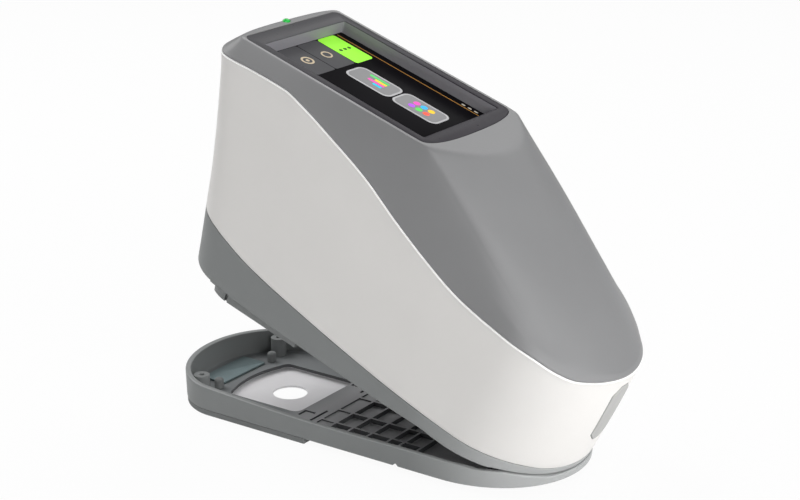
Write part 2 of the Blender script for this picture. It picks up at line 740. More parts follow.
def crown_point(edge, ridge, share):
    """A point of the cover, between its lower edge, the plateau's edge and the core line."""
    front_core = FRONT_END_TOP - NOSE_REACH - PLATEAU_NOSE_LAP
    rear_core = PLATEAU_REAR - PLATEAU_HALF_WIDTH
    core = Vector((0, min(max(ridge.y, front_core), rear_core)))
    on_band = min(share, 1)
    spot = edge.xy.lerp(ridge, on_band).lerp(core, share - on_band)
    beyond = (share - on_band) * (ridge - core).length / (ridge - edge.xy).length
    rise = top_height(ridge.x, ridge.y) - edge.z
    band = edge.z + rise * (on_band * (1 + BAND_BULGE_SHARE * (1 - on_band))
                            + beyond * (1 - BAND_BULGE_SHARE))
    top = top_height(spot.x, spot.y)
    if share > 1:
        band = max(band, top)
    corner = max(top_height(edge.x, edge.y) - edge.z, 0)
    softness = CREASE_BLEND + min(NOSE_BLEND * nearness(spot.y), NOSE_BLEND_SHARE * corner)
    return Vector((spot.x, spot.y, max(blend(top, band, softness * (2 * on_band - share)), edge.z)))


def make_top_cover():
    """Cover that carries the display and falls to the nose."""
    edges = wall_half(lambda y: upper_seam(y) + COVER_SKIRT)
    ridge = half_outline(PLATEAU_HALF_WIDTH, PLATEAU_REAR, PLATEAU_REAR_END, PLATEAU_REAR_POWER,
                         -NOSE_REACH - PLATEAU_NOSE_LAP, FRONT_END_TOP, FRONT_POWER_TOP)
    rows = [whole_ring(wall_half(lambda y: upper_seam(y) + GAP / 2))]
    for share in COVER_ROW_SHARES:
        rows.append(whole_ring([crown_point(edge, Vector(spot), share) for edge, spot in zip(edges, ridge)]))
    bm = bmesh.new()
    skin(bm, rows)
    bmesh.ops.remove_doubles(bm, verts=bm.verts, dist=MERGE_DISTANCE)
    cover = thicken(object_from("top_cover", bm, COVER_GREY, head))
    combine(cover, slab("bezel_opening", bezel_outline(GAP), PLATEAU - WALL - OVERRUN,
                        PLATEAU + OVERRUN, None, head), "DIFFERENCE")
    hole = bmesh.new()
    add_cylinder(hole, (0, 0, 0), PLATEAU - WALL - OVERRUN, PLATEAU + OVERRUN, LED_HALF_WIDTH + GAP)
    squeeze = (LED_HALF_LENGTH + GAP) / (LED_HALF_WIDTH + GAP)
    bmesh.ops.scale(hole, vec=(1, squeeze, 1), verts=hole.verts)
    bmesh.ops.translate(hole, vec=(0, LED_Y, 0), verts=hole.verts)
    return combine(cover, object_from("led_hole", hole, None, head), "DIFFERENCE")


def corner_arc(cx, cy, radius, start, steps=5):
    """Points of a quarter circle."""
    points = []
    for step in range(steps + 1):
        angle = start + math.pi / 2 * step / steps
        points.append((cx + radius * math.cos(angle), cy + radius * math.sin(angle)))
    return points


def bezel_outline(grow):
    """Outline of the bezel, with a front edge that bulges towards the nose."""
    half, rear, corner = BEZEL_HALF_WIDTH + grow, BEZEL_REAR + grow, BEZEL_CORNER + grow
    points = corner_arc(half - corner, rear - corner, corner, 0)
    points += corner_arc(-half + corner, rear - corner, corner, math.pi / 2)
    bulge = BEZEL_BULGE + grow
    steps = 20
    for step in range(steps + 1):
        angle = math.pi * step / steps
        across = math.copysign(abs(math.cos(angle)) ** (2 / BEZEL_FRONT_POWER), -math.cos(angle))
        along = math.sin(angle) ** (2 / BEZEL_FRONT_POWER)
        points.append((half * across, BEZEL_SIDE_FRONT - bulge * along))
    return points


def window_opening_outline():
    """Soft-cornered floor opening with an arched rear edge."""
    half, corner = OPENING_HALF_WIDTH, OPENING_CORNER
    points = corner_arc(half - corner, OPENING_REAR - corner, corner, 0)
    steps = 8
    for step in range(1, steps):
        across = 1 - 2 * step / steps
        points.append(((half - corner) * across, OPENING_REAR + OPENING_ARCH * (1 - across ** 2)))
    points += corner_arc(-half + corner, OPENING_REAR - corner, corner, math.pi / 2)
    points += corner_arc(-half + corner, OPENING_FRONT + corner, corner, math.pi)
    points += corner_arc(half - corner, OPENING_FRONT + corner, corner, 3 * math.pi / 2)
    return points


def corner_slot_outline(side):
    """L-shaped slot beside a front corner of the opening."""
    outer, arm, width = CORNER_SLOT_X, CORNER_SLOT_ARM, SLOT_WIDTH
    inner, rear = outer - arm, CORNER_SLOT_Y
    points = [(inner, rear), (outer, rear), (outer, rear - width), (inner + width, rear - width),
              (inner + width, rear - arm), (inner, rear - arm)]
    return [(side * x, y) for x, y in points]


def both_sides(places):
    return [(side * x, y) for x, y in places for side in (1, -1)]


def rim_height(y):
    return follow(RIM_SHARES, y) * BASE_RIM


def make_base_shell():
    """Tray with rim, ribbed pan, hinge ears, bosses and the opening over the target window."""
    low = base_row(BASE_DRAFT, BASE_BOTTOM)
    base = solid_between("base_shell", [low, base_row(0, rim_height)], SHELL_GREY)
    inner = [base_row(BASE_WALL + BASE_DRAFT, BASE_FLOOR), base_row(BASE_WALL, BASE_RIM * 2)]
    combine(base, solid_between("tray_space", inner), "DIFFERENCE")
    combine(base, box_piece("pan", (-PAN_HALF_WIDTH, PAN_FRONT, PAN_BOTTOM),
                            (PAN_HALF_WIDTH, PAN_REAR, BASE_FLOOR - GAP), corner=PAN_CORNER), "UNION")
    cells = bmesh.new()
    pocket = PAN_HALF_WIDTH - RIB_WIDTH
    columns = [pocket * share for share in RIB_COLUMN_SHARES]
    rows = [RIB_REAR + (POCKET_FRONT - RIB_REAR) * share for share in RIB_ROW_SHARES]
    for left, right in zip(columns, columns[1:]):
        for rear, front in zip(rows, rows[1:]):
            floor = SHALLOW_CELL_FLOOR if rear > PAN_REAR else PAN_FLOOR
            add_box(cells, (left + RIB_WIDTH / 2, front + RIB_WIDTH / 2, floor),
                    (right - RIB_WIDTH / 2, rear - RIB_WIDTH / 2, BASE_FLOOR + OVERRUN))
    pocket -= RIB_WIDTH / 2
    add_box(cells, (-pocket, POCKET_FRONT, PAN_FLOOR),
            (pocket, rows[-1] - RIB_WIDTH / 2, BASE_FLOOR + OVERRUN))
    for side in (1, -1):
        slot_ends = sorted((side * SLOT_INNER, side * SLOT_OUTER))
        add_box(cells, (slot_ends[0], SLOT_Y, BASE_FLOOR - SLOT_DEPTH),
                (slot_ends[1], SLOT_Y + SLOT_WIDTH, BASE_FLOOR + OVERRUN))
    combine(base, object_from("rib_cells", cells), "DIFFERENCE")
    for side in (1, -1):
        combine(base, slab("corner_slot", corner_slot_outline(side), BASE_FLOOR - SLOT_DEPTH,
                           BASE_FLOOR + OVERRUN), "DIFFERENCE")
    combine(base, slab("window_opening", window_opening_outline(), BASE_BOTTOM - OVERRUN,
                       BASE_FLOOR + OVERRUN), "DIFFERENCE")
    notch = bmesh.new()
    turn = Matrix.Rotation(math.pi / 4, 4, "X")
    side_length = NOTCH_HALF_WIDTH * math.sqrt(2)
    for side in (1, -1):
        middle = Vector((side * BASE_HALF_WIDTH, NOTCH_Y, BASE_BOTTOM))
        size = Matrix.Diagonal((BASE_WALL * 2, side_length, side_length, 1))
        bmesh.ops.create_cube(notch, size=1, matrix=Matrix.Translation(middle) @ turn @ size)
    combine(base, object_from("edge_notches", notch), "DIFFERENCE")
    posts = bmesh.new()
    for x, y in both_sides([(BOSS_X, BOSS_Y)]):
        add_cylinder(posts, (x, y, 0), BASE_FLOOR - SLOT_DEPTH, BOSS_TOP, BOSS_RADIUS)
    lug_inner, lug_outer = PIN_HALF_LENGTH * BASE_LUG_INNER_SHARE, PIN_HALF_LENGTH * BASE_LUG_OUTER_SHARE
    for side in (1, -1):
        ends = sorted((side * lug_inner, side * lug_outer))
        add_cylinder(posts, (0, HINGE_Y, HINGE_Z), *ends, LUG_RADIUS, axis="X")
    combine(base, object_from("posts_and_ears", posts), "UNION")
    webs = bmesh.new()
    for side in (1, -1):
        ends = sorted((side * lug_inner, side * lug_outer))
        add_box(webs, (ends[0], HINGE_Y - LUG_RADIUS * WEB_SHARE, BASE_FLOOR - SLOT_DEPTH),
                (ends[1], HINGE_Y + LUG_RADIUS * WEB_SHARE, HINGE_Z - GAP))
    combine(base, object_from("ear_webs", webs), "UNION")
    holes = bmesh.new()
    for x, y in both_sides([(BOSS_X, BOSS_Y)]):
        add_cylinder(holes, (x, y, 0), BOSS_TOP - BOSS_HOLE_DEPTH, BOSS_TOP + OVERRUN, BOSS_HOLE_RADIUS, 12)
    add_cylinder(holes, (0, HINGE_Y, HINGE_Z), -lug_outer - GAP, lug_outer + GAP, PIN_RADIUS + GAP, axis="X")
    for x, y in window_screw_places():
        add_cylinder(holes, (x, y, 0), BASE_BOTTOM - GAP, BASE_FLOOR - GAP, SCREW_RADIUS + GAP, SCREW_SIDES)
    combine(base, object_from("base_holes", holes), "DIFFERENCE")


def window_screw_places():
    x = WINDOW_HALF_WIDTH - WINDOW_RIM_INSET / 2
    return both_sides([(x, WINDOW_FRONT + WINDOW_RIM_INSET), (x, WINDOW_REAR - WINDOW_RIM_INSET)])


def make_base_pieces():
    """Sole, foot, target window, strike plate and bump stops."""
    bottom = base_row(SOLE_INSET, 0)
    sole = solid_between("sole_pad", [bottom, base_row(SOLE_INSET, BASE_BOTTOM - GAP)], RUBBER)
    combine(sole, box_piece("sole_front_cut", (-HALF_LENGTH, -HALF_LENGTH - OVERRUN, -OVERRUN),
                            (HALF_LENGTH, SOLE_FRONT, BASE_BOTTOM + OVERRUN)), "DIFFERENCE")
    combine(sole, box_piece("sole_window_cut", (-WINDOW_HALF_WIDTH - GAP, WINDOW_FRONT - GAP, -OVERRUN),
                            (WINDOW_HALF_WIDTH + GAP, WINDOW_REAR + GAP, BASE_BOTTOM + OVERRUN),
                            corner=WINDOW_CORNER + GAP), "DIFFERENCE")
    box_piece("front_foot", (-FOOT_HALF_WIDTH, FOOT_FRONT, 0),
              (FOOT_HALF_WIDTH, FOOT_REAR, PAN_BOTTOM - GAP), RUBBER, corner=FOOT_CORNER)

    window = box_piece("target_window", (-WINDOW_HALF_WIDTH, WINDOW_FRONT, GAP),
                       (WINDOW_HALF_WIDTH, WINDOW_REAR, BASE_BOTTOM - GAP), WINDOW_WHITE,
                       corner=WINDOW_CORNER)
    rim = WINDOW_RIM_INSET
    combine(window, box_piece("window_recess",
                              (-WINDOW_HALF_WIDTH + rim, WINDOW_FRONT + rim / 2, WINDOW_PLATE_TOP),
                              (WINDOW_HALF_WIDTH - rim, WINDOW_REAR - rim / 2, BASE_BOTTOM + OVERRUN)),
            "DIFFERENCE")
    holes = bmesh.new()
    add_cylinder(holes, (0, APERTURE_Y, 0), -OVERRUN, BASE_BOTTOM, APERTURE_RADIUS, 32)
    for x, y in window_screw_places():
        add_cylinder(holes, (x, y, 0), -OVERRUN, BASE_BOTTOM + OVERRUN, SCREW_RADIUS + GAP, SCREW_SIDES)
    combine(window, object_from("window_holes", holes), "DIFFERENCE")
    seats = bmesh.new()
    for x, y in window_screw_places():
        add_cylinder(seats, (x, y, 0), -OVERRUN, SCREW_HEAD + GAP * 2, SCREW_HEAD_RADIUS + GAP, SCREW_SIDES)
    combine(window, object_from("window_screw_seats", seats), "DIFFERENCE")
    screw_set("window_screw", window_screw_places(), SCREW_HEAD + GAP, BASE_FLOOR - GAP * 3, None)

    box_piece("strike_plate", (-STRIKE_HALF_WIDTH, STRIKE_FRONT, BASE_FLOOR + GAP),
              (STRIKE_HALF_WIDTH, STRIKE_REAR, BASE_FLOOR + GAP + STRIKE_THICKNESS), STEEL,
              corner=STRIKE_THICKNESS)
    for side, word in ((1, "right"), (-1, "left")):
        stop = bmesh.new()
        add_cylinder(stop, (0, 0, 0), BASE_FLOOR + GAP, POST_TOP, POST_RADIUS, 16)
        top_edges = []
        for edge in stop.edges:
            if all(vert.co.z > BASE_FLOOR + POST_RADIUS for vert in edge.verts):
                top_edges.append(edge)
        bmesh.ops.bevel(stop, geom=top_edges, offset=POST_RADIUS / 2, segments=3, affect="EDGES",
                        profile=0.5)
        post = object_from("stop_post_" + word, stop, RUBBER)
        post.location = (side * POST_X, POST_Y, 0)


def turned(name, profile, sides, material, parent, spot):
    """A turned piece: a profile of radii and heights, from its top down its outer side."""
    mesh = bpy.data.meshes.new(name)
    points = [(radius, 0, height) for radius, height in profile]
    mesh.from_pydata(points, [(i, i + 1) for i in range(len(points) - 1)], [])
    obj = bpy.data.objects.new(name, mesh)
    parts.objects.link(obj)
    mesh.materials.append(material)
    spin = obj.modifiers.new("spin", "SCREW")
    spin.steps = spin.render_steps = sides
    spin.use_merge_vertices = True
    spin.merge_threshold = MERGE_DISTANCE
    obj.location = spot
    place(obj, parent)
    return obj


def screw_set(name, places, low, high, parent, head_below=True):
    """Screws with round heads, each its own piece, heads below or above their shanks."""
    for index, (x, y) in enumerate(places, 1):
        if head_below:
            profile = [(0, high), (SCREW_RADIUS, high), (SCREW_RADIUS, low), (SCREW_HEAD_RADIUS, low),
                       (SCREW_HEAD_RADIUS, low - SCREW_HEAD), (0, low - SCREW_HEAD)]
        else:
            profile = [(0, high + SCREW_HEAD), (SCREW_HEAD_RADIUS, high + SCREW_HEAD),
                       (SCREW_HEAD_RADIUS, high), (SCREW_RADIUS, high), (SCREW_RADIUS, low), (0, low)]
        turned(f"{name}_{index}", profile, SCREW_SIDES, STEEL, parent, (x, y, 0))


def make_hinge():
    """Pin, clips and torsion springs, all carried by the base."""
    cylinder_piece("hinge_pin", (0, HINGE_Y, HINGE_Z), -PIN_HALF_LENGTH, PIN_HALF_LENGTH, PIN_RADIUS, STEEL,
                   axis="X")
    clip_inner = PIN_HALF_LENGTH * BASE_LUG_OUTER_SHARE + GAP
    for side, word in ((1, "right"), (-1, "left")):
        ends = sorted((side * clip_inner, side * (clip_inner + CLIP_THICKNESS)))
        clip = cylinder_piece("hinge_clip_" + word, (0, HINGE_Y, HINGE_Z), *ends, CLIP_RADIUS, STEEL,
                              axis="X")
        bore = cylinder_piece("clip_bore_" + word, (0, HINGE_Y, HINGE_Z), ends[0] - OVERRUN,
                              ends[1] + OVERRUN, PIN_RADIUS + CLIP_GAP, axis="X")
        combine(clip, bore, "DIFFERENCE")
        spring_coil("hinge_spring_" + word, side)


def spring_coil(name, side):
    """One torsion spring round the pin, with a leg that lies towards the tray floor."""
    data = bpy.data.curves.new(name, "CURVE")
    data.dimensions = "3D"
    data.bevel_depth = SPRING_WIRE / 2
    data.bevel_resolution = 1
    data.use_fill_caps = True
    count = SPRING_TURNS * SPRING_TURN_POINTS
    first = PIN_HALF_LENGTH * SPRING_START_SHARE
    length = PIN_HALF_LENGTH * SPRING_END_SHARE - first
    points = [(side * first, HINGE_Y + SPRING_RADIUS, HINGE_Z - SPRING_LEG)]
    for step in range(count + 1):
        turn = math.tau * step / SPRING_TURN_POINTS
        along = first + length * step / count
        points.append((side * along, HINGE_Y + SPRING_RADIUS * math.cos(turn),
                       HINGE_Z + SPRING_RADIUS * math.sin(turn)))
    end = points[-1]
    points.append((end[0], end[1], end[2] + SPRING_LEG))
    spline = data.splines.new("POLY")
    spline.points.add(len(points) - 1)
    for point, place_at in zip(spline.points, points):
        point.co = (*place_at, 1)
    curve = bpy.data.objects.new(name + "_path", data)
    cutters.objects.link(curve)
    return mesh_from_curve(name, curve, Matrix.Identity(4), STEEL, None)


def make_lower_shell():
    """Lower shell: wall below the lower seam and the floor that carries the inside."""
    shell = wall_shell("lower_shell", foot_height, lambda y: lower_seam(y) - GAP / 2, SHELL_GREY)
    levels = (("floor_plate", FLOOR_BOTTOM, FLOOR_TOP, WALL / 2, False),
              ("rear_floor_core", FLOOR_BOTTOM, REAR_FLOOR_TOP - GAP, BELLY_INSET, True),
              ("rear_floor", REAR_FLOOR_BOTTOM, REAR_FLOOR_TOP, WALL / 2, True))
    for name, low, high, inset, rear in levels:
        rows = [whole_ring(wall_half(lambda y: height, inset)) for height in (low, high)]
        plate = solid_between(name, rows, None, head)
        ends = (-BASE_LENGTH, REAR_FLOOR_FRONT) if rear else (REAR_FLOOR_FRONT + REAR_FLOOR_LAP, BASE_LENGTH)
        combine(plate, box_piece(name + "_end", (-HALF_LENGTH, ends[0], 0), (HALF_LENGTH, ends[1], PLATEAU),
                                 None, head), "DIFFERENCE")
        combine(shell, plate, "UNION")
    holes = bmesh.new()
    low, high = FLOOR_BOTTOM - OVERRUN, FLOOR_TOP + OVERRUN
    add_cylinder(holes, (0, APERTURE_Y, 0), low, high, FLOOR_PORT_RADIUS)
    add_cylinder(holes, (0, TRIGGER_Y, 0), low, high, TRIGGER_RADIUS + GAP)
    for x, y in bracket_screw_places() + chassis_screw_places():
        add_cylinder(holes, (x, y, 0), low, high, SCREW_RADIUS + GAP, SCREW_SIDES)
    combine(shell, object_from("floor_holes", holes, None, head), "DIFFERENCE")


def magnet_y():
    return (STRIKE_FRONT + STRIKE_REAR) / 2


def make_belly_cover():
    """Pan under the rear floor, which sinks into the tray when the head is closed."""
    rows = []
    for height in (BELLY_BOTTOM, FLOOR_BOTTOM - GAP):
        rows.append(whole_ring(wall_half(lambda y: height, BELLY_INSET)))
    belly = solid_between("belly_cover", rows, SHELL_GREY, head)
    inner = []
    for height in (BELLY_BOTTOM + BELLY_SKIN, FLOOR_BOTTOM + OVERRUN):
        inner.append(whole_ring(wall_half(lambda y: height, BELLY_INSET + BELLY_SKIN)))
    space = solid_between("belly_space", inner, None, head)
    combine(space, box_piece("belly_space_end", (-HALF_LENGTH, -BASE_LENGTH, -OVERRUN),
                             (HALF_LENGTH, BELLY_FRONT + BELLY_SKIN, PLATEAU), None, head), "DIFFERENCE")
    combine(belly, box_piece("belly_end", (-HALF_LENGTH, -BASE_LENGTH, -OVERRUN),
                             (HALF_LENGTH, BELLY_FRONT, PLATEAU), None, head), "DIFFERENCE")
    combine(belly, space, "DIFFERENCE")
    holes = bmesh.new()
    top = FLOOR_BOTTOM + OVERRUN
    add_cylinder(holes, (0, APERTURE_Y, 0), 0, top, CONE_FLANGE_RADIUS + GAP)
    add_cylinder(holes, (0, magnet_y(), 0), 0, top, MAGNET_RADIUS + GAP)
    for x, y in both_sides([(BOSS_X, BOSS_Y)]):
        add_cylinder(holes, (x, y, 0), 0, top, BOSS_RADIUS + BELLY_POST_ROOM)
    for x, y in both_sides([(POST_X, POST_Y)]):
        add_cylinder(holes, (x, y, 0), 0, POST_TOP + BELLY_POST_ROOM, POST_RADIUS + BELLY_POST_ROOM)
    for side in (1, -1):
        edge = HEAD_HALF_WIDTH - BELLY_INSET
        ends = sorted((side * (edge + OVERRUN), side * (edge - BELLY_NOTCH_DEPTH)))
        add_box(holes, (ends[0], BELLY_NOTCH_Y, 0), (ends[1], BELLY_NOTCH_Y + BELLY_NOTCH_WIDTH, top))
    combine(belly, object_from("belly_holes", holes, None, head), "DIFFERENCE")


def nose_y(z):
    """Place of the outer nose wall at X = 0 in the closed head."""
    h = z - HEAD_FOOT
    return -NOSE_REACH - NOSE_LEAN * h + h * abs(h) / NOSE_CURL


PORT_PIVOT = (0, nose_y(PORT_BOTTOM), PORT_BOTTOM)


def port_prism(name, grow, parent):
    """Box with chamfered corners through the nose wall."""
    reach = nose_y(PORT_TOP)
    bm = bmesh.new()
    add_rounded_box(bm, (-PORT_HALF_WIDTH - grow, reach - OVERRUN, PORT_BOTTOM - grow),
                    (PORT_HALF_WIDTH + grow, reach + WALL + OVERRUN, PORT_TOP + grow), PORT_CHAMFER + grow,
                    axis=1, steps=1)
    return object_from(name, bm, None, parent)


def make_side_shell_and_flap():
    """White side shell, and the flap that closes the port opening in its nose."""
    low, high = (lambda y: lower_seam(y) + GAP / 2), (lambda y: upper_seam(y) - GAP / 2)
    shell = wall_shell("side_shell", low, high, WHITE)
    combine(shell, port_prism("port_opening", GAP, head), "DIFFERENCE")
    flap = wall_shell("port_cover", low, high, WHITE)
    prism = port_prism("port_outline", 0, head)
    combine(flap, prism, "INTERSECT")
    pivot = empty("port_pivot", PORT_PIVOT, 0.0, head, HINGE)
    flap.data.transform(Matrix.Translation(-Vector(PORT_PIVOT)))
    flap.parent = pivot
    flap.matrix_parent_inverse = Matrix.Identity(4)


def make_port():
    """Tray, socket, switch and board behind the flap."""
    face = TRAY_FACE
    tray = box_piece("port_tray", (-TRAY_HALF_WIDTH, face, PORT_BOTTOM - WALL / 2),
                     (TRAY_HALF_WIDTH, face + TRAY_THICKNESS, PORT_TOP - WALL / 2), DARK_GREY, head)
    holes = bmesh.new()
    add_box(holes, (-USB_HALF_WIDTH - GAP, face - OVERRUN, USB_Z - USB_HALF_HEIGHT - GAP),
            (USB_HALF_WIDTH + GAP, face + OVERRUN, USB_Z + USB_HALF_HEIGHT + GAP))
    slot = KNOB_HALF_SIZE + GAP
    add_box(holes, (-slot, face - OVERRUN, SWITCH_Z - KNOB_TRAVEL / 2 - slot),
            (slot, face + OVERRUN, SWITCH_Z + KNOB_TRAVEL / 2 + slot))
    combine(tray, object_from("tray_holes", holes, None, head), "DIFFERENCE")

    usb = box_piece("usb_socket", (-USB_HALF_WIDTH, face, USB_Z - USB_HALF_HEIGHT),
                    (USB_HALF_WIDTH, face + USB_LENGTH, USB_Z + USB_HALF_HEIGHT), ALUMINIUM, head,
                    corner=USB_CORNER, axis=1)
    wall = USB_WALL
    combine(usb, box_piece("usb_space",
                           (-USB_HALF_WIDTH + wall, face - OVERRUN, USB_Z - USB_HALF_HEIGHT + wall),
                           (USB_HALF_WIDTH - wall, face + USB_DEPTH, USB_Z + USB_HALF_HEIGHT - wall),
                           None, head, corner=USB_CORNER - wall, axis=1), "DIFFERENCE")

    back = face + TRAY_THICKNESS + GAP
    knob_back = back + SWITCH_DEPTH / 2
    switch = box_piece("power_switch", (-SWITCH_HALF_WIDTH, back, SWITCH_Z - SWITCH_HALF_HEIGHT),
                       (SWITCH_HALF_WIDTH, back + SWITCH_DEPTH, SWITCH_Z + SWITCH_HALF_HEIGHT),
                       CHIP_BLACK, head)
    combine(switch, box_piece("switch_slot", (-slot, back - OVERRUN, SWITCH_Z - KNOB_TRAVEL / 2 - slot),
                              (slot, knob_back, SWITCH_Z + KNOB_TRAVEL / 2 + slot), None, head), "DIFFERENCE")
    bm = bmesh.new()
    add_box(bm, (-KNOB_HALF_SIZE, -KNOB_HALF_SIZE, -KNOB_HALF_SIZE), (KNOB_HALF_SIZE,) * 3)
    length = knob_back - GAP - face
    bmesh.ops.scale(bm, vec=(1, length / (2 * KNOB_HALF_SIZE), 1), verts=bm.verts)
    knob = object_from("switch_knob", bm, LAMP_WHITE, head)
    knob.location = (0, face + length / 2, SWITCH_Z - KNOB_TRAVEL / 2)

    board_front = face + USB_LENGTH + GAP
    box_piece("port_board", (-PORT_BOARD_HALF_WIDTH, board_front, FLOOR_TOP + GAP),
              (PORT_BOARD_HALF_WIDTH, board_front + PORT_BOARD_THICKNESS, PORT_TOP - WALL), BOARD_GREEN, head)


def make_display():
    """Bezel, touch panel, display module, its frame, its cable and the status light."""
    bezel = slab("display_bezel", bezel_outline(0), PLATEAU - BEZEL_THICKNESS, PLATEAU, GLASS_GREY, head)
    bezel_bottom = PLATEAU - BEZEL_THICKNESS
    combine(bezel, box_piece("screen_cut", (-SCREEN_HALF_WIDTH, SCREEN_FRONT, bezel_bottom - OVERRUN),
                             (SCREEN_HALF_WIDTH, SCREEN_REAR, PLATEAU + OVERRUN), None, head,
                             corner=SCREEN_CORNER), "DIFFERENCE")
    panel_top = PLATEAU - SCREEN_DEPTH
    margin = TOUCH_MARGIN
    box_piece("touch_panel",
              (-SCREEN_HALF_WIDTH - margin, SCREEN_FRONT - margin, panel_top - TOUCH_THICKNESS),
              (SCREEN_HALF_WIDTH + margin, SCREEN_REAR + margin, panel_top), SCREEN_BLACK, head)
    lcd_top = panel_top - TOUCH_THICKNESS - GAP
    lcd_bottom = lcd_top - LCD_THICKNESS
    box_piece("lcd_module", (-SCREEN_HALF_WIDTH - margin, SCREEN_FRONT - margin, lcd_bottom),
              (SCREEN_HALF_WIDTH + margin, SCREEN_REAR + margin, lcd_top), ALUMINIUM, head)
    outer = margin + GAP + FRAME_WALL
    frame = box_piece("display_frame",
                      (-SCREEN_HALF_WIDTH - outer, SCREEN_FRONT - outer, lcd_bottom + GAP * 2),
                      (SCREEN_HALF_WIDTH + outer, SCREEN_REAR + outer, PLATEAU - BEZEL_THICKNESS - GAP),
                      DARK_GREY, head, corner=FRAME_CORNER)
    seat = margin + GAP
    combine(frame, box_piece("panel_seat",
                             (-SCREEN_HALF_WIDTH - seat, SCREEN_FRONT - seat, lcd_bottom - OVERRUN),
                             (SCREEN_HALF_WIDTH + seat, SCREEN_REAR + seat, panel_top + GAP), None, head),
            "DIFFERENCE")
    combine(frame, box_piece("screen_well", (-SCREEN_HALF_WIDTH, SCREEN_FRONT, lcd_bottom - OVERRUN),
                             (SCREEN_HALF_WIDTH, SCREEN_REAR, PLATEAU + OVERRUN), None, head,
                             corner=SCREEN_CORNER), "DIFFERENCE")

    board_top = CHASSIS_TOP + STANDOFF_HEIGHT + BOARD_THICKNESS
    box_piece("display_cable", (-CABLE_HALF_WIDTH, CABLE_Y, board_top + GAP),
              (CABLE_HALF_WIDTH, CABLE_Y + CABLE_THICKNESS, lcd_bottom - GAP), AMBER, head)

    led_low, led_middle = PLATEAU - WALL - LED_STEM, PLATEAU - LED_SINK
    bm = bmesh.new()
    bmesh.ops.create_uvsphere(bm, u_segments=16, v_segments=8, radius=1,
                              matrix=Matrix.Diagonal((LED_HALF_WIDTH, LED_HALF_LENGTH, LED_HEIGHT, 1)))
    bmesh.ops.translate(bm, vec=(0, LED_Y, led_middle), verts=bm.verts)
    led = object_from("status_led", bm, LED_GREEN, head)
    stem = bmesh.new()
    add_cylinder(stem, (0, 0, 0), led_low, led_middle, LED_HALF_WIDTH * LED_STEM_SHARE, 16)
    squeeze = LED_HALF_LENGTH / LED_HALF_WIDTH
    bmesh.ops.scale(stem, vec=(1, squeeze, 1), verts=stem.verts)
    bmesh.ops.translate(stem, vec=(0, LED_Y, 0), verts=stem.verts)
    combine(led, object_from("led_stem", stem, None, head), "UNION")
    board_top = led_low - GAP
    box_piece("led_board", (-LED_BOARD_HALF_WIDTH, LED_Y - LED_BOARD_FRONT, board_top - LED_BOARD_THICKNESS),
              (LED_BOARD_HALF_WIDTH, LED_Y + LED_BOARD_REAR, board_top), BOARD_GREEN, head)


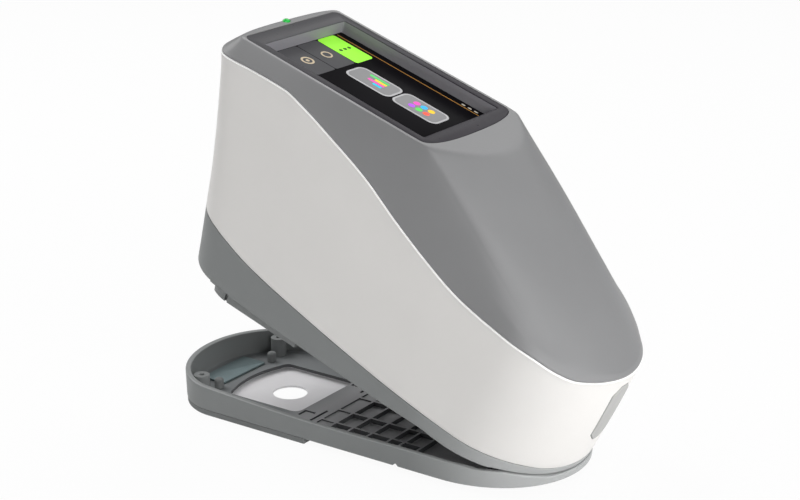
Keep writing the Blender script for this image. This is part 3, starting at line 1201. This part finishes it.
def make_optics():
    """Aperture cone, lamps, barrel, lens, spectral module and detector board."""
    centre = (0, APERTURE_Y, 0)
    top = FLOOR_BOTTOM - GAP
    bm = bmesh.new()
    add_cone(bm, centre, CONE_TIP, top - CONE_FLANGE / 2, CONE_TIP_RADIUS, CONE_TOP_RADIUS)
    cone = object_from("aperture_ring", bm, DARK_GREY, head)
    combine(cone, cylinder_piece("cone_flange", centre, top - CONE_FLANGE, top, CONE_FLANGE_RADIUS,
                                 None, head), "UNION")
    combine(cone, cylinder_piece("cone_bore", centre, 0, FLOOR_TOP, CONE_BORE_RADIUS, None, head),
            "DIFFERENCE")

    barrel = cylinder_piece("optics_barrel", centre, top + GAP, BARREL_TOP, BARREL_RADIUS, BLACK_METAL, head)
    combine(barrel, cylinder_piece("barrel_bore", centre, 0, BARREL_TOP + OVERRUN,
                                   BARREL_BORE_RADIUS - LENS_SEAT, None, head), "DIFFERENCE")
    combine(barrel, cylinder_piece("lens_seat", centre, LENS_Z - GAP, BARREL_TOP + OVERRUN,
                                   BARREL_BORE_RADIUS, None, head), "DIFFERENCE")
    lens = bmesh.new()
    add_cylinder(lens, centre, LENS_Z, LENS_Z + LENS_THICKNESS, BARREL_BORE_RADIUS - GAP)
    rims = []
    for edge in lens.edges:
        if edge.verts[0].co.z == edge.verts[1].co.z:
            rims.append(edge)
    bmesh.ops.bevel(lens, geom=rims, offset=LENS_BEVEL, segments=1, affect="EDGES", profile=0.5)
    object_from("objective_lens", lens, LENS_GLASS, head)

    ring = cylinder_piece("light_ring_board", centre, RING_BOARD_Z, RING_BOARD_Z + RING_BOARD_THICKNESS,
                          RING_BOARD_RADIUS, BOARD_GREEN, head)
    combine(ring, cylinder_piece("ring_bore", centre, 0, BARREL_TOP, BARREL_RADIUS + GAP, None, head),
            "DIFFERENCE")
    lamps = bmesh.new()
    for index in range(LAMP_COUNT):
        angle = math.tau * (index + 0.5) / LAMP_COUNT
        x, y = LAMP_CIRCLE * math.cos(angle), APERTURE_Y + LAMP_CIRCLE * math.sin(angle)
        add_box(lamps, (x - LAMP_SIZE / 2, y - LAMP_SIZE / 2, RING_BOARD_Z - LAMP_HEIGHT),
                (x + LAMP_SIZE / 2, y + LAMP_SIZE / 2, RING_BOARD_Z + RING_BOARD_THICKNESS / 2))
    combine(ring, object_from("ring_lamps", lamps, None, head), "UNION")

    block_low = BARREL_TOP + GAP
    block_top = block_low + BLOCK_HEIGHT
    block = box_piece("spectro_block", (-BLOCK_HALF_WIDTH, BLOCK_FRONT, block_low),
                      (BLOCK_HALF_WIDTH, BLOCK_REAR, block_top), BLACK_METAL, head, corner=BLOCK_CORNER)
    legs = bmesh.new()
    for x, y in block_leg_places():
        add_box(legs, (x - BLOCK_LEG / 2, y - BLOCK_LEG / 2, FLOOR_TOP + GAP),
                (x + BLOCK_LEG / 2, y + BLOCK_LEG / 2, block_low + GAP))
    combine(block, object_from("block_legs", legs, None, head), "UNION")
    shaft = cylinder_piece("block_light_path", centre, 0, block_low + BLOCK_LIGHT_PATH,
                           BARREL_BORE_RADIUS, None, head)
    combine(block, shaft, "DIFFERENCE")
    holes = bmesh.new()
    for x, y in block_leg_places():
        add_cylinder(holes, (x, y, 0), block_top - BLOCK_HOLE_DEPTH, block_top + OVERRUN,
                     SCREW_RADIUS + GAP, SCREW_SIDES)
    combine(block, object_from("block_screw_holes", holes, None, head), "DIFFERENCE")

    edge = DETECTOR_INSET
    board = box_piece("detector_board", (-BLOCK_HALF_WIDTH + edge, BLOCK_FRONT + edge, block_top + GAP),
                      (BLOCK_HALF_WIDTH - edge, BLOCK_REAR - edge, block_top + GAP + BOARD_THICKNESS),
                      BOARD_GREEN, head)
    board_holes = bmesh.new()
    for x, y in block_leg_places():
        add_cylinder(board_holes, (x, y, 0), block_top - OVERRUN, block_top + OVERRUN,
                     SCREW_RADIUS + GAP, SCREW_SIDES)
    combine(board, object_from("detector_board_holes", board_holes, None, head), "DIFFERENCE")
    screw_set("optics_screw", block_leg_places()[::3], block_top - BLOCK_SCREW_DEPTH,
              block_top + GAP * 2 + BOARD_THICKNESS, head, head_below=False)


def block_leg_places():
    inset = BLOCK_LEG / 2 + SCREW_RADIUS
    x = BLOCK_HALF_WIDTH - inset
    return both_sides([(x, BLOCK_FRONT + inset), (x, BLOCK_REAR - inset)])


def board_hole_places():
    x = CHASSIS_HALF_WIDTH - BOARD_MARGIN - BOARD_HOLE_MARGIN
    inset = BOARD_MARGIN + BOARD_HOLE_MARGIN
    return both_sides([(x, CHASSIS_FRONT + inset), (x, CHASSIS_REAR - inset)])


def chassis_screw_places():
    x = CHASSIS_HALF_WIDTH - BOARD_HOLE_MARGIN
    return both_sides([(x, CHASSIS_LEG_FRONT + BOARD_HOLE_MARGIN), (x, CHASSIS_LEG_REAR - BOARD_HOLE_MARGIN)])


def make_chassis_and_board():
    """Bent sheet frame on the floor, with the main board on standoffs."""
    low = FLOOR_TOP + GAP
    half = CHASSIS_HALF_WIDTH
    frame = box_piece("chassis_frame", (-half, CHASSIS_FRONT, CHASSIS_TOP - CHASSIS_SHEET),
                      (half, CHASSIS_REAR, CHASSIS_TOP), ALUMINIUM, head)
    legs = bmesh.new()
    lap = CHASSIS_SHEET / 2
    for side in (1, -1):
        ends = sorted((side * half, side * (half - CHASSIS_SHEET)))
        add_box(legs, (ends[0], CHASSIS_LEG_FRONT, low), (ends[1], CHASSIS_LEG_REAR, CHASSIS_TOP - lap))
    combine(frame, object_from("chassis_legs", legs, None, head), "UNION")
    feet = bmesh.new()
    for side in (1, -1):
        ends = sorted((side * (half - lap), side * (half - CHASSIS_FOOT)))
        add_box(feet, (ends[0], CHASSIS_LEG_FRONT, low), (ends[1], CHASSIS_LEG_REAR, low + CHASSIS_SHEET))
    combine(frame, object_from("chassis_feet", feet, None, head), "UNION")
    holes = bmesh.new()
    for x, y in chassis_screw_places():
        add_cylinder(holes, (x, y, 0), low - OVERRUN, low + OVERRUN, SCREW_RADIUS + GAP, SCREW_SIDES)
    for side in (1, -1):
        ends = sorted((side * (half + OVERRUN), side * (half - OVERRUN)))
        add_box(holes, (ends[0], CHASSIS_LEG_FRONT + CHASSIS_SLOT_MARGIN, low + CHASSIS_SLOT_MARGIN),
                (ends[1], CHASSIS_LEG_REAR - CHASSIS_SLOT_MARGIN, CHASSIS_TOP - CHASSIS_SLOT_MARGIN))
    combine(frame, object_from("chassis_holes", holes, None, head), "DIFFERENCE")
    screw_set("chassis_screw", chassis_screw_places(), FLOOR_BOTTOM + GAP, low + CHASSIS_SHEET + GAP, head,
              head_below=False)

    board_low = CHASSIS_TOP + STANDOFF_HEIGHT
    board_top = board_low + BOARD_THICKNESS
    posts = bmesh.new()
    for x, y in board_hole_places():
        add_cylinder(posts, (x, y, 0), CHASSIS_TOP - GAP, board_low - GAP, STANDOFF_RADIUS, 12)
    combine(frame, object_from("board_standoffs", posts, None, head), "UNION")
    bores = bmesh.new()
    for x, y in board_hole_places():
        add_cylinder(bores, (x, y, 0), CHASSIS_TOP - OVERRUN, board_top + OVERRUN, SCREW_RADIUS + GAP,
                     SCREW_SIDES)
    bore_cutter = object_from("standoff_bores", bores, None, head)
    combine(frame, bore_cutter, "DIFFERENCE")
    board = box_piece("main_board", (-half + BOARD_MARGIN, CHASSIS_FRONT + BOARD_MARGIN, board_low),
                      (half - BOARD_MARGIN, CHASSIS_REAR - BOARD_MARGIN, board_top), BOARD_GREEN, head)
    combine(board, bore_cutter, "DIFFERENCE")
    screw_set("board_screw", board_hole_places()[::3], CHASSIS_TOP + GAP * 2, board_top + GAP, head,
              head_below=False)

    chips = bmesh.new()
    middle = (CHASSIS_FRONT + CHASSIS_REAR) / 2
    for x_share, y_share, size_share in CHIP_SHARES:
        x, y = x_share * half, middle + y_share * (CHASSIS_REAR - middle)
        size = CHIP_HALF_SIZE * size_share
        add_box(chips, (x - size, y - size, board_top - GAP), (x + size, y + size, board_top + CHIP_HEIGHT))
    combine(board, object_from("board_chips", chips, None, head), "UNION")
    cylinder_piece("buzzer", (half * BUZZER_SHARE, middle - BUZZER_RADIUS * 2, 0), board_top + GAP,
                   board_top + GAP + BUZZER_HEIGHT, BUZZER_RADIUS, CHIP_BLACK, head)


def make_battery():
    """Battery block in its cradle on the floor of the nose."""
    low = FLOOR_TOP + GAP
    sheet = CRADLE_SHEET
    outer = BATTERY_HALF_WIDTH + GAP + sheet
    cradle = box_piece("battery_cradle", (-outer, BATTERY_FRONT - GAP - sheet, low),
                       (outer, BATTERY_REAR + GAP + sheet, low + CRADLE_LIP), DARK_GREY, head)
    combine(cradle, box_piece("cradle_space", (-BATTERY_HALF_WIDTH - GAP, BATTERY_FRONT - GAP, low + sheet),
                              (BATTERY_HALF_WIDTH + GAP, BATTERY_REAR + GAP, low + OVERRUN + CRADLE_LIP),
                              None, head), "DIFFERENCE")
    seat = low + sheet + GAP
    box_piece("battery_pack", (-BATTERY_HALF_WIDTH, BATTERY_FRONT, seat),
              (BATTERY_HALF_WIDTH, BATTERY_REAR, seat + BATTERY_HEIGHT), BATTERY_BLUE, head,
              corner=BATTERY_CORNER, axis=1)


def make_trigger():
    """Plunger that the strip of the tray floor pushes up, and the switch above it."""
    centre = (0, TRIGGER_Y, 0)
    low = BASE_FLOOR + STOP_GAP
    flange_low = FLOOR_TOP + GAP
    top = flange_low + TRIGGER_FLANGE
    bm = bmesh.new()
    add_cylinder(bm, (0, 0, 0), low - flange_low, TRIGGER_FLANGE / 2, TRIGGER_RADIUS, 16)
    plunger = object_from("trigger_plunger", bm, DARK_GREY, head)
    plunger.location = (0, TRIGGER_Y, flange_low)
    combine(plunger, cylinder_piece("plunger_flange", centre, flange_low, top, TRIGGER_FLANGE_RADIUS,
                                    None, head), "UNION")
    body_low = top + TRIGGER_TRAVEL + STOP_GAP
    half, length = MICROSWITCH_HALF_WIDTH, MICROSWITCH_HALF_LENGTH
    switch = box_piece("trigger_switch", (-half, TRIGGER_Y - length, body_low),
                       (half, TRIGGER_Y + length, body_low + MICROSWITCH_HEIGHT), CHIP_BLACK, head)
    legs = bmesh.new()
    for side in (1, -1):
        ends = sorted((side * half, side * (half - MICROSWITCH_LEG)))
        add_box(legs, (ends[0], TRIGGER_Y - length, flange_low),
                (ends[1], TRIGGER_Y + length, body_low + GAP))
    combine(switch, object_from("switch_legs", legs, None, head), "UNION")


def bracket_screw_places():
    x = PIN_HALF_LENGTH * (HEAD_LUG_INNER_SHARE + HEAD_LUG_OUTER_SHARE) / 2
    return both_sides([(x, BRACKET_REAR - SCREW_HEAD_RADIUS - GAP)])


def make_brackets():
    """Pair of hinge brackets under the floor, and the catch magnet."""
    top = FLOOR_BOTTOM - GAP
    inner, outer = PIN_HALF_LENGTH * HEAD_LUG_INNER_SHARE, PIN_HALF_LENGTH * HEAD_LUG_OUTER_SHARE
    reach = LUG_RADIUS * WEB_SHARE
    for side, word in ((1, "right"), (-1, "left")):
        ends = sorted((side * (inner - BRACKET_MARGIN), side * (outer + BRACKET_MARGIN)))
        lug_ends = sorted((side * inner, side * outer))
        bracket = box_piece("hinge_bracket_" + word, (ends[0], BRACKET_FRONT, top - BRACKET_SHEET),
                            (ends[1], BRACKET_REAR, top), ALUMINIUM, head)
        web = box_piece("bracket_web_" + word, (lug_ends[0], HINGE_Y - reach, HINGE_Z),
                        (lug_ends[1], HINGE_Y + reach, top - BRACKET_SHEET / 2), None, head)
        lug = cylinder_piece("bracket_lug_" + word, (0, HINGE_Y, HINGE_Z), *lug_ends, LUG_RADIUS, None, head,
                             axis="X")
        combine(bracket, web, "UNION")
        combine(bracket, lug, "UNION")
        holes = bmesh.new()
        add_cylinder(holes, (0, HINGE_Y, HINGE_Z), ends[0] - OVERRUN, ends[1] + OVERRUN, PIN_RADIUS + GAP,
                     axis="X")
        for x, y in bracket_screw_places():
            if x * side > 0:
                add_cylinder(holes, (x, y, 0), top - OVERRUN, top + OVERRUN, SCREW_RADIUS + GAP, SCREW_SIDES)
        combine(bracket, object_from("bracket_holes_" + word, holes, None, head), "DIFFERENCE")
    screw_set("bracket_screw", bracket_screw_places(), top - BRACKET_SHEET - GAP, FLOOR_TOP - GAP, head)

    magnet_low = BASE_FLOOR + GAP + STRIKE_THICKNESS + STOP_GAP
    cylinder_piece("latch_magnet", (0, magnet_y(), 0), magnet_low, top, MAGNET_RADIUS, STEEL, head)


make_base_shell()
make_base_pieces()
make_hinge()
make_lower_shell()
make_belly_cover()
make_side_shell_and_flap()
make_top_cover()
make_port()
make_display()
make_optics()
make_chassis_and_board()
make_battery()
make_trigger()
make_brackets()
